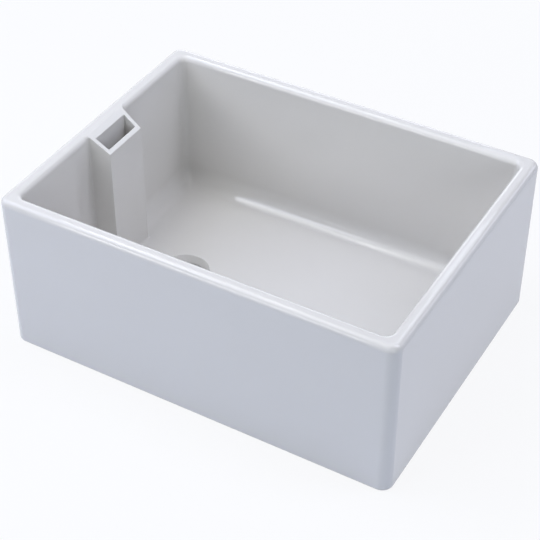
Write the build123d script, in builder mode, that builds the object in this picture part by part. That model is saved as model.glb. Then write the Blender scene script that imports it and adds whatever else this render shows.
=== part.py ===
"""Belfast sink: a fireclay casting with a weir overflow, and the slotted waste and plug in its outlet.

Millimetres. The origin is the centre of the underside, +X along the length, +Y to the back and +Z up.
"""

import os
from math import asin, cos, hypot, pi, sin, sqrt, tan

from build123d import *

os.makedirs("parts", exist_ok=True)

# Casting
sink_width = 595.0
sink_depth = 447.0
sink_height = 250.0
wall = 22.0
floor_thickness = 25.0
outer_corner_radius = 16.5
inner_corner_radius = 11.0
rim_outer_radius = 9.5
rim_inner_radius = 9.0
base_edge_radius = 3.0
cove_radius = 27.0

# Weir column on the left wall, and the duct inside it
weir_width = 77.4
weir_draft = 6.0
weir_projection = 33.2
weir_drop = 23.1
weir_setback = 1.5
weir_root_radius = 3.5
weir_corner_radius = 1.2
weir_lip_radius = 1.0
weir_step = 1.3
duct_side_wall = 6.5
duct_front_wall = 6.3
duct_back_wall = 7.5
duct_corner_radius = 1.0
duct_lip_radius = 1.2

# Overflow passage inside the floor, from the duct to the outlet
passage_width = 44.0
passage_height = 4.6
passage_floor = 3.8

# Outlet in the floor
outlet_x = -152.0
recess_gap = 0.8
recess_depth = 14.0
recess_flare = 5.2
outlet_gap = 4.1
pad_margin = 8.0
pad_depth = 1.0

# Waste
flange_width = 7.8
flange_rim = 1.4
flange_bevel = 0.6
dish_fall = 0.4
dish_land = 2.0
mouth_flare = 2.9
tail_radius = 23.9
tail_wall = 3.4
tail_length = 45.0
tail_chamfer = 1.2
groove_width = 1.5
groove_depth = 0.7
slot_count = 4
slot_width = 18.0
slot_height = 7.0
slot_floor = 2.6
bar_width = 3.0
bar_height = 4.0
bar_drop = 2.0
hub_radius = 5.0

# Seals, washer and nut that clamp the waste
flange_seal_thickness = 1.2
flange_seal_inset = 0.4
base_seal_thickness = 4.0
base_seal_width = 10.1
slip_thickness = 1.5
slip_width = 9.1
nut_wall = 6.1
nut_height = 9.0
nut_bevel_angle = 30.0
ring_fit = 0.15

# Plug
plug_gap = 0.3
seal_low = 0.5
seal_height = 2.0
seal_groove_depth = 2.0
plug_lip_gap = 1.6
plug_lip_height = 2.0
plug_foot_gap = 2.0
plug_foot_height = 2.0
plug_bevel = 0.7

# Post, its washer and nut, and the pull ring
shank_radius = 2.5
collar_radius = 5.0
collar_height = 1.2
eye_width = 7.0
eye_thickness = 2.6
eye_rise = 4.2
eye_hole_radius = 1.8
eye_washer_radius = 5.5
eye_washer_thickness = 0.8
eye_nut_flats = 8.0
eye_nut_height = 3.5
shank_tip = 1.0
pull_ring_radius = 10.5
pull_ring_wire = 1.2

# How closely an edge has to lie to a place to be picked there
pick_tolerance = 0.01

# Places worked out from the sizes above
inner_x = sink_width / 2 - wall
inner_y = sink_depth / 2 - wall
weir_face_x = -inner_x + weir_projection
weir_top_x = -inner_x - weir_setback
slope_normal_x = weir_drop / hypot(weir_face_x - weir_top_x, weir_drop)
rim_flat_x = -(sink_width / 2 - (rim_outer_radius + wall - rim_inner_radius) / 2)
duct_back_x = -inner_x + duct_back_wall
duct_front_x = weir_face_x - duct_front_wall
# The column widens from its inner face to the wall, and the duct with it.
weir_taper = tan(weir_draft * pi / 180)
weir_half = weir_width / 2
weir_wall_half = weir_half + weir_projection * weir_taper
weir_rim_half = weir_half + (weir_face_x - rim_flat_x) * weir_taper
weir_block_half = weir_rim_half + weir_root_radius + weir_step
duct_front_half = weir_half + duct_front_wall * weir_taper - duct_side_wall
duct_back_half = weir_half + (weir_face_x - duct_back_x) * weir_taper - duct_side_wall
seat_z = floor_thickness - recess_depth
outlet_radius = tail_radius + outlet_gap
tail_bore = tail_radius - tail_wall
mouth_radius = tail_bore + mouth_flare
flange_radius = mouth_radius + flange_width
recess_radius = flange_radius + recess_gap
flange_seal_radius = flange_radius - flange_seal_inset
base_seal_radius = tail_radius + base_seal_width
slip_radius = tail_radius + slip_width
nut_flats = 2 * (tail_radius + nut_wall)
pad_radius = base_seal_radius + pad_margin
plug_lip_radius = mouth_radius - plug_lip_gap
plug_foot_radius = tail_bore - plug_foot_gap
seal_groove_radius = plug_foot_radius - seal_groove_depth
flange_bottom = seat_z + flange_seal_thickness
flange_top = flange_bottom + flange_rim
mouth_z = flange_top - dish_fall
cone_bottom = mouth_z - (mouth_radius - tail_bore)
base_seal_bottom = pad_depth - base_seal_thickness
slip_bottom = base_seal_bottom - slip_thickness
nut_bottom = slip_bottom - nut_height
groove_top = nut_bottom - groove_width / 2
groove_bottom = groove_top - groove_width
slot_centre = slot_floor + slot_height / 2
seal_bottom = cone_bottom + seal_low
seal_top = seal_bottom + seal_height
plug_foot_bottom = seal_bottom - plug_foot_height
plug_top = seal_top + plug_lip_height
collar_top = plug_top + collar_height
eye_z = collar_top + eye_rise
eye_washer_bottom = plug_foot_bottom - eye_washer_thickness
eye_nut_bottom = eye_washer_bottom - eye_nut_height
shank_bottom = eye_nut_bottom - shank_tip
# The ring leans until its far side lies just above the plug.
ring_lean = asin((eye_z - plug_top - plug_gap - pull_ring_wire) / (2 * pull_ring_radius))

outlet_axis = Axis((outlet_x, 0, 0), (0, 0, 1))
outlet_section = Plane(origin=(outlet_x, 0, 0), x_dir=(1, 0, 0), z_dir=(0, -1, 0))
slot_angles = [pi + 2 * pi * i / slot_count for i in range(slot_count)]
slot_planes = [
    Plane(origin=(outlet_x, 0, slot_centre), x_dir=(-sin(a), cos(a), 0), z_dir=(cos(a), sin(a), 0))
    for a in slot_angles
]
ring_plane = Plane(
    origin=(outlet_x + pull_ring_radius * cos(ring_lean), 0, eye_z - pull_ring_radius * sin(ring_lean)),
    x_dir=(cos(ring_lean), 0, -sin(ring_lean)),
    z_dir=(sin(ring_lean), 0, cos(ring_lean)),
)


def at_outlet(z):
    """A level plane at height z, centred on the outlet."""
    return Plane(origin=(outlet_x, 0, z), x_dir=(1, 0, 0), z_dir=(0, 0, 1))


def outlet_ring(outer, inner, bottom, thickness):
    """A flat ring round the outlet's axis."""
    with BuildPart() as ring:
        with BuildSketch(at_outlet(bottom)):
            Circle(outer)
            Circle(inner, mode=Mode.SUBTRACT)
        extrude(amount=thickness)
    return ring


def hex_nut(flats, bore, bottom, height):
    """A hexagon nut round the outlet's axis, with both ends bevelled."""
    corner = flats / 2 / cos(pi / 6)
    bevel = (corner - flats / 2) * tan(nut_bevel_angle * pi / 180)
    with BuildPart() as nut:
        with BuildSketch(at_outlet(bottom)):
            RegularPolygon(flats / 2, 6, major_radius=False)
        extrude(amount=height)
        with BuildSketch(outlet_section):
            with BuildLine():
                Polyline(
                    (bore, bottom),
                    (flats / 2, bottom),
                    (corner, bottom + bevel),
                    (corner, bottom + height - bevel),
                    (flats / 2, bottom + height),
                    (bore, bottom + height),
                    close=True,
                )
            make_face()
        revolve(axis=outlet_axis, mode=Mode.INTERSECT)
    return nut


def weir_slope(builder):
    """The sloping face on top of the weir column."""
    flats = builder.faces().filter_by(GeomType.PLANE)
    return flats.sort_by(lambda f: abs(f.normal_at().X - slope_normal_x))[0]


def seal_radius_at(z):
    """The plug seal's outer radius at height z, a small gap inside the conical mouth."""
    return tail_bore + z - cone_bottom - plug_gap * sqrt(2)


# Hollow of the bowl: the cove runs round the floor, then the upright corners run down into it
with BuildPart() as bowl:
    with BuildSketch(Plane.XY.offset(floor_thickness)):
        Rectangle(2 * inner_x, 2 * inner_y)
    extrude(amount=sink_height - floor_thickness)
    fillet(bowl.faces().sort_by(Axis.Z)[0].edges(), cove_radius)
    fillet(bowl.edges().filter_by(Axis.Z), inner_corner_radius)

# Weir column, blended into a piece of the wall and floor behind it
with BuildPart() as weir:
    with BuildSketch(Plane.XY.offset(seat_z)):
        with Locations((rim_flat_x, 0)):
            Rectangle(
                weir_face_x + 2 * weir_root_radius - rim_flat_x,
                2 * (weir_block_half + weir_root_radius),
                align=(Align.MIN, Align.CENTER),
            )
    extrude(amount=sink_height - seat_z)
    add(bowl.part, mode=Mode.SUBTRACT)
    with BuildSketch(Plane.XY.offset(seat_z)) as column_plan:
        with BuildLine():
            Polyline(
                (rim_flat_x, -weir_rim_half),
                (weir_face_x, -weir_half),
                (weir_face_x, weir_half),
                (rim_flat_x, weir_rim_half),
                close=True,
            )
        make_face()
        fillet(column_plan.vertices().group_by(Axis.X)[-1], weir_corner_radius)
    extrude(amount=sink_height - seat_z)
    root_edges = weir.edges().filter_by(Axis.Z).filter_by_position(
        Axis.X, -inner_x - pick_tolerance, -inner_x + pick_tolerance
    )
    fillet(root_edges.sort_by(lambda e: abs(abs(e.center().Y) - weir_wall_half))[:2], weir_root_radius)
    with BuildSketch(Plane.XY.offset(seat_z)):
        with Locations((rim_flat_x, 0)):
            Rectangle(sink_width, 2 * weir_block_half, align=(Align.MIN, Align.CENTER))
    extrude(amount=sink_height - seat_z, mode=Mode.INTERSECT)
    # The top slopes from the rim down to the column's inner face.
    with BuildSketch(Plane.XZ.offset(-weir_block_half)):
        with BuildLine():
            Polyline(
                (weir_top_x, sink_height),
                (weir_face_x, sink_height - weir_drop),
                (weir_face_x + weir_root_radius, sink_height - weir_drop),
                (weir_face_x + weir_root_radius, sink_height),
                close=True,
            )
        make_face()
    extrude(amount=2 * weir_block_half, mode=Mode.SUBTRACT)
    fillet(weir_slope(weir).edges().sort_by(Axis.X)[-1], weir_lip_radius)

# Fireclay casting
with BuildPart() as sink_body:
    with BuildSketch():
        RectangleRounded(sink_width, sink_depth, outer_corner_radius)
    extrude(amount=sink_height)
    fillet(sink_body.faces().sort_by(Axis.Z)[0].edges(), base_edge_radius)
    add(bowl.part, mode=Mode.SUBTRACT)
    fillet(sink_body.faces().sort_by(Axis.Z)[-1].outer_wire().edges(), rim_outer_radius)
    fillet(sink_body.faces().sort_by(Axis.Z)[-1].inner_wires()[0].edges(), rim_inner_radius)
    add(weir.part)
    # Duct down the column, and the passage from its foot to the outlet
    with BuildSketch(Plane.XY.offset(passage_floor)) as duct_plan:
        with BuildLine():
            Polyline(
                (duct_back_x, -duct_back_half),
                (duct_front_x, -duct_front_half),
                (duct_front_x, duct_front_half),
                (duct_back_x, duct_back_half),
                close=True,
            )
        make_face()
        fillet(duct_plan.vertices(), duct_corner_radius)
    extrude(amount=sink_height - passage_floor, mode=Mode.SUBTRACT)
    fillet(weir_slope(sink_body).inner_wires()[0].edges(), duct_lip_radius)
    with BuildSketch(Plane.XY.offset(passage_floor)):
        with Locations((duct_back_x, 0)):
            Rectangle(outlet_x - duct_back_x, passage_width, align=(Align.MIN, Align.CENTER))
    extrude(amount=passage_height, mode=Mode.SUBTRACT)
    # Outlet: a flared mouth, a deep recess for the flange, the bore for the tail and a ground pad underneath
    with Locations((outlet_x, 0, floor_thickness)):
        CounterBoreHole(outlet_radius, recess_radius, recess_depth)
    recess_edges = sink_body.edges().filter_by(GeomType.CIRCLE).filter_by(
        lambda e: abs(e.radius - recess_radius) < pick_tolerance
    )
    chamfer(recess_edges.sort_by(Axis.Z)[-1], recess_flare)
    with BuildSketch(at_outlet(0)):
        Circle(pad_radius)
    extrude(amount=pad_depth, mode=Mode.SUBTRACT)
sink_body.part.label = "sink_body"
export_step(sink_body.part, "parts/sink_body.step")

# Waste: flange with a dished mouth, slotted tail and cross-bars
with BuildPart() as waste_body:
    with BuildSketch(outlet_section) as waste_profile:
        with BuildLine():
            Polyline(
                (tail_bore, -tail_length),
                (tail_radius, -tail_length),
                (tail_radius, groove_bottom),
                (tail_radius - groove_depth, groove_bottom),
                (tail_radius - groove_depth, groove_top),
                (tail_radius, groove_top),
                (tail_radius, flange_bottom),
                (flange_radius, flange_bottom),
                (flange_radius, flange_top),
                (flange_radius - dish_land, flange_top),
                (mouth_radius, mouth_z),
                (tail_bore, cone_bottom),
                close=True,
            )
        make_face()
        chamfer(waste_profile.vertices().group_by(Axis.X)[-1].sort_by(Axis.Y)[-1], flange_bevel)
        chamfer(waste_profile.vertices().group_by(Axis.Y)[0].sort_by(Axis.X)[-1], tail_chamfer)
    revolve(axis=outlet_axis)
    with BuildSketch(at_outlet(-bar_drop)):
        with PolarLocations(0, 2, angular_range=180):
            Rectangle(2 * tail_bore + tail_wall, bar_width)
        Circle(hub_radius)
    extrude(amount=-bar_height)
    with BuildSketch(*slot_planes):
        SlotOverall(slot_width, slot_height)
    extrude(amount=outlet_radius, mode=Mode.SUBTRACT)
waste_body.part.label = "waste_body"
export_step(waste_body.part, "parts/waste_body.step")

# Seal between the flange and the ceramic seat
flange_seal = outlet_ring(flange_seal_radius, outlet_radius, seat_z, flange_seal_thickness)
flange_seal.part.label = "flange_seal"
export_step(flange_seal.part, "parts/flange_seal.step")

# Rubber washer under the sink
base_seal = outlet_ring(base_seal_radius, tail_radius + ring_fit, base_seal_bottom, base_seal_thickness)
base_seal.part.label = "base_seal"
export_step(base_seal.part, "parts/base_seal.step")

# Washer that lets the nut turn against the rubber
slip_washer = outlet_ring(slip_radius, tail_radius + ring_fit, slip_bottom, slip_thickness)
slip_washer.part.label = "slip_washer"
export_step(slip_washer.part, "parts/slip_washer.step")

# Nut that clamps the waste
back_nut = hex_nut(nut_flats, tail_radius + ring_fit, nut_bottom, nut_height)
back_nut.part.label = "back_nut"
export_step(back_nut.part, "parts/back_nut.step")

# Plug: a disc with a groove for its seal
with BuildPart() as plug_body:
    with BuildSketch(outlet_section) as plug_profile:
        with BuildLine():
            Polyline(
                (shank_radius + ring_fit, plug_foot_bottom),
                (plug_foot_radius, plug_foot_bottom),
                (plug_foot_radius, seal_bottom),
                (seal_groove_radius, seal_bottom),
                (seal_groove_radius, seal_top),
                (plug_lip_radius, seal_top),
                (plug_lip_radius, plug_top),
                (shank_radius + ring_fit, plug_top),
                close=True,
            )
        make_face()
        chamfer(plug_profile.vertices().group_by(Axis.X)[-1], plug_bevel)
        chamfer(plug_profile.vertices().group_by(Axis.Y)[0].sort_by(Axis.X)[-1], plug_bevel)
    revolve(axis=outlet_axis)
plug_body.part.label = "plug_body"
export_step(plug_body.part, "parts/plug_body.step")

# Rubber ring in the plug's groove, tapered like the mouth that it closes
with BuildPart() as plug_seal:
    with BuildSketch(outlet_section):
        with BuildLine():
            Polyline(
                (seal_groove_radius, seal_bottom),
                (seal_radius_at(seal_bottom), seal_bottom),
                (seal_radius_at(seal_top), seal_top),
                (seal_groove_radius, seal_top),
                close=True,
            )
        make_face()
    revolve(axis=outlet_axis)
plug_seal.part.label = "plug_seal"
export_step(plug_seal.part, "parts/plug_seal.step")

# Post through the plug, with a collar on top and an eye for the ring
with BuildPart() as plug_eye:
    with BuildSketch(at_outlet(shank_bottom)):
        Circle(shank_radius)
    extrude(amount=plug_top - shank_bottom)
    with BuildSketch(at_outlet(plug_top)):
        Circle(collar_radius)
    extrude(amount=collar_height)
    with BuildSketch(outlet_section):
        with Locations((0, collar_top)):
            Rectangle(eye_width, eye_rise, align=(Align.CENTER, Align.MIN))
        with Locations((0, eye_z)):
            Circle(eye_width / 2)
            Circle(eye_hole_radius, mode=Mode.SUBTRACT)
    extrude(amount=eye_thickness / 2, both=True)
plug_eye.part.label = "plug_eye"
export_step(plug_eye.part, "parts/plug_eye.step")

# Washer and nut that hold the post in the plug
eye_washer = outlet_ring(eye_washer_radius, shank_radius + ring_fit, eye_washer_bottom, eye_washer_thickness)
eye_washer.part.label = "eye_washer"
export_step(eye_washer.part, "parts/eye_washer.step")

eye_nut = hex_nut(eye_nut_flats, shank_radius + ring_fit, eye_nut_bottom, eye_nut_height)
eye_nut.part.label = "eye_nut"
export_step(eye_nut.part, "parts/eye_nut.step")

# Pull ring through the eye, leaning on the plug
with BuildPart() as pull_ring:
    with Locations(ring_plane):
        Torus(pull_ring_radius, pull_ring_wire)
pull_ring.part.label = "pull_ring"
export_step(pull_ring.part, "parts/pull_ring.step")
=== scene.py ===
"""Belfast sink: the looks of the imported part, with one operator for each piece.

Metres. The origin is the centre of the underside, +X along the length, +Y to the back and +Z up.
"""

from math import acos, asin, atan2, ceil, cos, pi, radians, sin, sqrt, tan

import bmesh
import bpy
from bpy.props import FloatProperty, FloatVectorProperty, PointerProperty
from mathutils import Matrix, Quaternion, Vector


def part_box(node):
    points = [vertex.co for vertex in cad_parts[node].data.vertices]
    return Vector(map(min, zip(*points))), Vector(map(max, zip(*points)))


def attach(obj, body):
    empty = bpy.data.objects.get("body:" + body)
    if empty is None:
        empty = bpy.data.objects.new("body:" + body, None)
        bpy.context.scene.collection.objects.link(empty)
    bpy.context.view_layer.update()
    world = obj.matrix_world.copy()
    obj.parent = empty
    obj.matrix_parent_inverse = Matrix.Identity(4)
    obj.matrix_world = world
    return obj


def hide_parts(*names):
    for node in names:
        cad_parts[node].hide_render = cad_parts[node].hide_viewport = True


bl_info = {
    "name": "Belfast sink",
    "version": (1, 0, 0),
    "blender": (4, 5, 0),
    "location": "3D View > Sidebar > Sink",
    "description": "Builds a glazed fireclay sink with a weir overflow, its waste, its plug and a studio",
    "category": "Object",
}

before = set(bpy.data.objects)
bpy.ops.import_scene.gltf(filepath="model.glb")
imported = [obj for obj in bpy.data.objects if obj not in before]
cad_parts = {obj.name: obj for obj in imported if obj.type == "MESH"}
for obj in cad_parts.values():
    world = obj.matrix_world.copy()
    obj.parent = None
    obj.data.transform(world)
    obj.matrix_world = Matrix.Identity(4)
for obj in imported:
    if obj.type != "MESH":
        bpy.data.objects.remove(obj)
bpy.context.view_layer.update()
casting_low, casting_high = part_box("sink_body")
casting_size = casting_high - casting_low

# Lengths in metres and angles below this count as nothing
tiny = 1e-6


def length(name, description, default):
    """A size in metres that a user may change."""
    return FloatProperty(name=name, description=description, default=default, unit="LENGTH", precision=5)


def slant(name, description, degrees):
    """An angle that a user may change."""
    return FloatProperty(name=name, description=description, default=radians(degrees), subtype="ANGLE")


def amount(name, description, default):
    """A strength that a user may change."""
    return FloatProperty(name=name, description=description, default=default, min=0.0)


def colour(name, description, default):
    """A linear colour that a user may change."""
    return FloatVectorProperty(
        name=name, description=description, default=default, subtype="COLOR", size=3, min=0.0, max=1.0
    )


class CastingSizes(bpy.types.PropertyGroup):
    """Sizes of the fireclay casting."""

    width: length("Width", "Outside length of the sink from left to right", casting_size.x)
    depth: length("Depth", "Outside size of the sink from front to back", casting_size.y)
    height: length("Height", "Height of the rim above the underside", casting_size.z)
    wall: length("Wall", "Thickness of the four walls", 0.022)
    floor: length("Floor", "Height of the bowl's floor above the underside", 0.025)
    outer_corner: length("Outer corner", "Radius of the upright outer corners", 0.0165)
    inner_corner: length("Inner corner", "Radius of the upright corners inside the bowl", 0.011)
    rim_outer: length("Outer rim edge", "Radius of the rim's outer edge", 0.0095)
    rim_inner: length("Inner rim edge", "Radius of the rim's inner edge", 0.009)
    base_edge: length("Base edge", "Radius of the edge round the underside", 0.003)
    cove: length("Cove", "Radius of the cove between the walls and the floor", 0.027)
    outlet_x: length("Outlet place", "Place of the outlet's axis along the length", -0.152)
    recess_radius: length("Recess radius", "Radius of the recess that takes the waste's flange", 0.032)
    recess_depth: length("Recess depth", "Depth of that recess below the floor", 0.014)
    recess_flare: length("Recess flare", "Width of the sloping mouth round the recess", 0.0052)
    recess_slope: length("Recess slope", "Height of that sloping mouth", 0.0104)
    recess_edge: length("Recess edge", "Radius of the edges above and below that slope", 0.0008)
    bore_radius: length("Bore radius", "Radius of the hole for the waste's tail", 0.028)
    pad_radius: length("Pad radius", "Radius of the ground pad under the outlet", 0.042)
    pad_depth: length("Pad depth", "Depth of the ground pad", 0.001)


class WeirSizes(bpy.types.PropertyGroup):
    """Sizes of the overflow column and its duct."""

    width: length("Width", "Width of the column's inner face", 0.0774)
    draft: slant("Draft", "Angle at which the column widens to the wall", 6)
    projection: length("Projection", "How far the column stands out from the wall", 0.0332)
    drop: length("Drop", "How far the column's top falls from the rim to its inner face", 0.0231)
    setback: length("Setback", "How far inside the rim the slope begins", 0.0015)
    root: length("Root", "Radius between the column and the wall and floor", 0.0035)
    corner: length("Corner", "Radius of the column's upright corners", 0.0012)
    lip: length("Lip", "Radius of the column's top edge", 0.001)
    crease: length("Crease", "Half the width over which the rim bends into the slope", 0.0008)
    duct_side: length("Duct side wall", "Thickness of the column's side walls", 0.0065)
    duct_front: length("Duct front wall", "Thickness of the column's front wall", 0.0063)
    duct_back: length("Duct back wall", "Distance of the duct from the sink's wall", 0.0075)
    duct_corner: length("Duct corner", "Radius of the duct's corners", 0.001)
    duct_lip: length("Duct lip", "Radius of the duct's upper edge", 0.0009)
    duct_foot: length("Duct foot", "Height of the duct's foot above the underside", 0.0038)


class WasteSizes(bpy.types.PropertyGroup):
    """Sizes of the waste and of what clamps it."""

    flange_radius: length("Flange radius", "Radius of the waste's flange", 0.0312)
    flange_rim: length("Flange rim", "Thickness of the flange at its rim", 0.0014)
    dish_land: length("Dish land", "Width of the flat round the flange's rim", 0.002)
    dish_fall: length("Dish fall", "Fall of the flange from that flat to the mouth", 0.0004)
    mouth_radius: length("Mouth radius", "Radius of the waste's mouth", 0.0234)
    tail_radius: length("Tail radius", "Outside radius of the threaded tail", 0.0239)
    bore_radius: length("Bore radius", "Inside radius of the tail", 0.0205)
    thread_pitch: length("Thread pitch", "Rise of the tail's thread in one turn", 0.002309)
    thread_depth: length("Thread depth", "Depth of the tail's thread", 0.0012)
    thread_end: length("Thread end", "Height at which the thread runs out under the slots", 0.001)
    groove_low: length("Groove low", "Lower side of the groove below the large nut", -0.01575)
    groove_high: length("Groove high", "Upper side of that groove", -0.01425)
    slot_width: length("Slot width", "Width of each overflow slot", 0.018)
    slot_height: length("Slot height", "Height of each overflow slot", 0.007)
    slot_middle: length("Slot middle", "Height of the slots' middle line", 0.0061)
    bar_width: length("Bar width", "Width of the cross bars", 0.003)
    bar_low: length("Bar low", "Lower side of the cross bars", -0.006)
    bar_high: length("Bar high", "Upper side of the cross bars", -0.002)
    hub_radius: length("Hub radius", "Radius of the hub where the bars cross", 0.005)
    ring_bore: length("Ring bore", "Radius of the holes in the nut and washers", 0.02405)
    seal_bore: length("Seal bore", "Radius of the hole in the seal under the flange", 0.028)
    nut_flats: length("Nut flats", "Size across the flats of the large nut", 0.06)


class PlugSizes(bpy.types.PropertyGroup):
    """Sizes of the plug, its post and its ring."""

    lip_radius: length("Lip radius", "Radius of the plug's disc", 0.0218)
    foot_radius: length("Foot radius", "Radius of the plug below its seal", 0.0185)
    groove_radius: length("Groove radius", "Radius of the groove that holds the seal", 0.0165)
    groove_low: length("Groove low", "Lower side of that groove", 0.0108)
    groove_high: length("Groove high", "Upper side of that groove", 0.0128)
    dish_radius: length("Dish radius", "Radius of the shallow dish in the plug's top", 0.0195)
    dish_depth: length("Dish depth", "Depth of that dish", 0.0004)
    post_bore: length("Post bore", "Radius of the hole for the post", 0.00265)
    shank_radius: length("Shank radius", "Radius of the post that holds the ring", 0.0025)
    collar_radius: length("Collar radius", "Radius of the post's collar", 0.005)
    collar_top: length("Collar top", "Height of the collar's top", 0.016)
    eye_width: length("Eye width", "Width of the eye", 0.007)
    eye_thickness: length("Eye thickness", "Thickness of the eye", 0.0026)
    eye_hole: length("Eye hole", "Radius of the hole in the eye", 0.0018)
    eye_height: length("Eye height", "Height of the eye's centre above the underside", 0.0202)
    nut_flats: length("Nut flats", "Size across the flats of the post's nut", 0.008)
    ring_radius: length("Ring radius", "Radius of the pull ring's centre line", 0.0105)
    ring_wire: length("Ring wire", "Radius of the pull ring's wire", 0.0012)
    ring_gap: length("Ring gap", "Gap between the resting ring and the plug", 0.0003)


class Finishes(bpy.types.PropertyGroup):
    """Colours of the materials."""

    glaze: colour("Glaze", "Colour of the white glaze", (0.72, 0.71, 0.69))
    biscuit: colour("Biscuit", "Colour of the bare fireclay underneath", (0.62, 0.53, 0.4))
    chrome: colour("Chrome", "Colour of the chrome plate", (0.56, 0.57, 0.58))
    brass: colour("Brass", "Colour of the turned brass", (0.78, 0.57, 0.28))
    dark_rubber: colour("Dark rubber", "Colour of the dark seals", (0.022, 0.022, 0.024))
    pale_rubber: colour("Pale rubber", "Colour of the seal under the flange", (0.72, 0.71, 0.67))
    polythene: colour("Polythene", "Colour of the slip washer", (0.74, 0.75, 0.72))


class Studio(bpy.types.PropertyGroup):
    """Light round the object."""

    sky: colour("Sky", "Colour of the light from all round", (0.6, 0.75, 1.0))
    sky_strength: amount("Sky strength", "Strength of the light from all round", 0.01)
    key: amount("Key", "Radiance of the far half of the long light on the left", 3.9)
    key_near: amount("Near key", "Radiance of the near half of the long light on the left", 2.4)
    fill: amount("Fill", "Radiance of the large soft light on the left", 2.8)
    overhead: amount("Overhead", "Radiance of the light straight above", 1.6)
    front: amount("Front", "Radiance of the low light in front", 6.0)
    side: amount("Side", "Radiance of the low light off the front right corner", 3.0)
    right: amount("Right", "Radiance of the high light on the right", 6.2)
    rear: amount("Rear", "Radiance of the high light behind", 2.1)
    corner: amount("Corner", "Radiance of the low light behind the right corner", 2.4)
    low_rear: amount("Low rear", "Radiance of the low light behind on the left", 3.0)
    under: amount("Under", "Radiance of the light under the floor, which only the underside sees", 2.4)
    floor: colour("Floor", "Colour that the floor throws back on the object", (0.74, 0.79, 0.92))
    floor_lap: length("Floor lap", "Width of the floor under the edge of the sink", 0.02)
    floor_drop: length("Floor drop", "Depth of the floor under the sink", 0.0003)
    floor_reach: length("Floor reach", "Half the width of the floor", 4.0)
    shadow: amount("Shadow", "Share of the floor that takes light and shadow", 0.12)
    shadow_near: length("Shadow near", "Distance from the middle at which the shadow begins to fade", 0.8)
    shadow_far: length("Shadow far", "Distance from the middle at which the floor is plain white", 2.2)


class Wire:
    """An output socket of a material's nodes that takes part in sums."""

    def __init__(self, shader, socket):
        self.shader = shader
        self.socket = socket

    def __add__(self, other):
        return self.shader.maths("ADD", self, other)

    def __sub__(self, other):
        return self.shader.maths("SUBTRACT", self, other)

    def __rsub__(self, other):
        return self.shader.maths("SUBTRACT", other, self)

    def __mul__(self, other):
        return self.shader.maths("MULTIPLY", self, other)

    __radd__ = __add__
    __rmul__ = __mul__


class Shader:
    """The nodes of one material or of the world."""

    def __init__(self, owner):
        owner.use_nodes = True
        self.owner = owner
        self.tree = owner.node_tree
        self.tree.nodes.clear()

    def node(self, kind, settings=None, inputs=None, output=0):
        """Add a node, set it up, feed its sockets and give one of its outputs."""
        node = self.tree.nodes.new("ShaderNode" + kind)
        for name, value in (settings or {}).items():
            setattr(node, name, value)
        for name, value in (inputs or {}).items():
            if isinstance(value, Wire):
                self.tree.links.new(value.socket, node.inputs[name])
            else:
                node.inputs[name].default_value = value
        if not node.outputs:
            return None
        return Wire(self, node.outputs[output])

    def maths(self, operation, first, second):
        """A sum on two values."""
        return self.node("Math", {"operation": operation}, {0: first, 1: second})

    def larger(self, first, second):
        """The larger of two values."""
        return self.maths("MAXIMUM", first, second)

    def ramp(self, value, low, high):
        """A smooth step from 0 at low to 1 at high."""
        inputs = {"Value": value, "From Min": low, "From Max": high}
        return self.node("MapRange", {"interpolation_type": "SMOOTHSTEP"}, inputs)

    def tint(self, factor, first, second):
        """A colour between two colours."""
        return self.node("Mix", {"data_type": "RGBA"}, {0: factor, 6: first, 7: second}, 2)

    def mottle(self, factor, rgb, first, last):
        """A colour that wanders between two shares of itself."""
        return self.tint(factor, shade(rgb, first), shade(rgb, last))

    def place(self):
        """Where a point lies in the part's frame."""
        return self.node("TexCoord", output="Object")

    def noise(self, place, scale, detail=2.0, roughness=0.5):
        """A soft random value with a scale in turns to the metre."""
        inputs = {"Vector": place, "Scale": scale, "Detail": detail, "Roughness": roughness}
        return self.node("TexNoise", {}, inputs)

    def bump(self, height, distance, strength=1.0):
        """A normal that follows a height in metres."""
        return self.node("Bump", {}, {"Height": height, "Distance": distance, "Strength": strength})

    def surface(self, **inputs):
        """Finish the material with one surface shader."""
        named = {name.replace("_", " "): value for name, value in inputs.items()}
        shader = self.node("BsdfPrincipled", {}, named)
        self.node("OutputMaterial", {}, {"Surface": shader})
        return self.owner


def opaque(rgb):
    """A property's colour with an alpha of 1."""
    return (*rgb, 1.0)


def shade(rgb, share):
    """A property's colour made darker or paler."""
    return (*(min(c * share, 1.0) for c in rgb), 1.0)


def white_glaze(finishes):
    """White glaze over fireclay, with the foot left bare."""
    shader = Shader(bpy.data.materials.new("white_glaze"))
    place = shader.place()
    height = shader.node("SeparateXYZ", {}, {0: place}, "Z")
    foot_low, foot_high, foot_wander = 0.0012, 0.0019, 0.0006
    wobble = shader.noise(place, scale=60.0, detail=3.0)
    bare = 1 - shader.ramp(height + foot_wander * wobble, foot_low, foot_high)
    cloud = shader.noise(place, scale=9.0, detail=3.0)
    glaze = shader.mottle(cloud, finishes.glaze, 0.985, 1.01)
    grit = shader.noise(place, scale=900.0, detail=4.0, roughness=0.7)
    clay = shader.mottle(grit, finishes.biscuit, 0.72, 1.2)
    ripple = shader.noise(place, scale=70.0, detail=1.0)
    ripple_height, grit_height = 0.000003, 0.00025
    relief = ripple_height * ripple + grit_height * grit * bare
    return shader.surface(
        Base_Color=shader.tint(bare, glaze, clay),
        Roughness=0.008 + 0.012 * cloud + 0.75 * bare,
        Normal=shader.bump(relief, distance=1.0),
        IOR=1.52,
    )


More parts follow.
